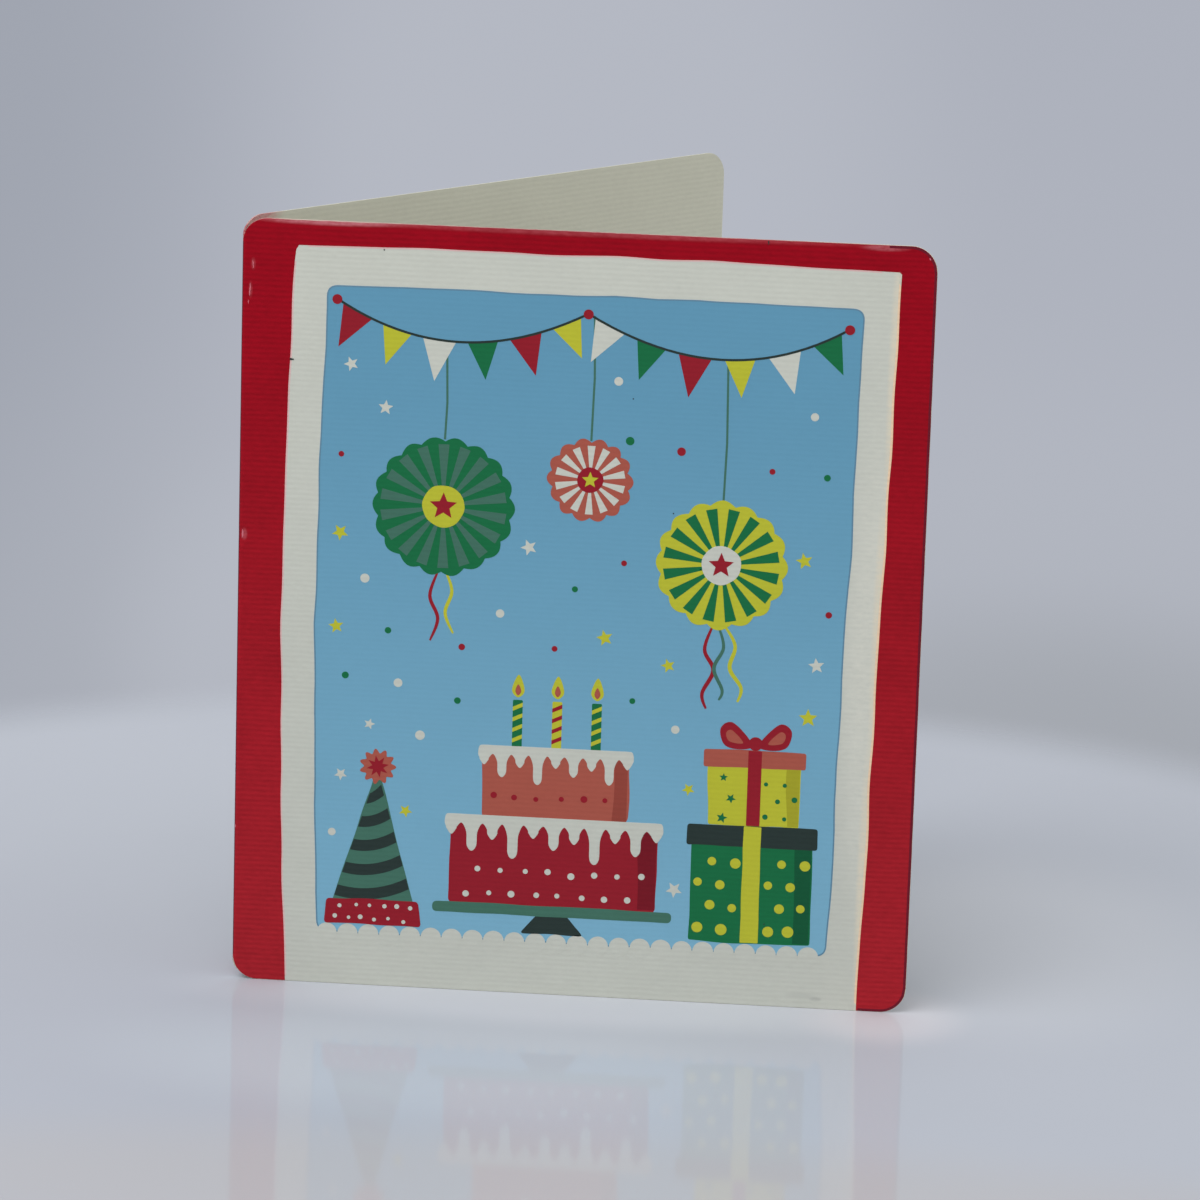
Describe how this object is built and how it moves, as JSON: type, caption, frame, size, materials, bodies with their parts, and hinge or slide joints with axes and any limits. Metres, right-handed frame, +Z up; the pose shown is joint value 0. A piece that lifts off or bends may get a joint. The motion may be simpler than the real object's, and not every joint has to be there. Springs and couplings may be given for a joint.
{
  "type": "greeting card",
  "caption": "Folded card of laid board with rounded corners and a scored fold, standing part open on its bottom edges.",
  "frame": {"origin": "centre of the bounding box at the height of the bottom edges that the card stands on", "axes": "+Z up along the fold, the printed front panel faces -Y and runs from the fold at -X to its free edge at +X, the back panel opens away towards +X and +Y"},
  "size_m": [0.131, 0.1004, 0.15],
  "materials": {
    "card": "satin laid board, printed on the outside"
  },
  "bodies": {
    "root": {"folded_card": "card"}
  },
  "joints": []
}
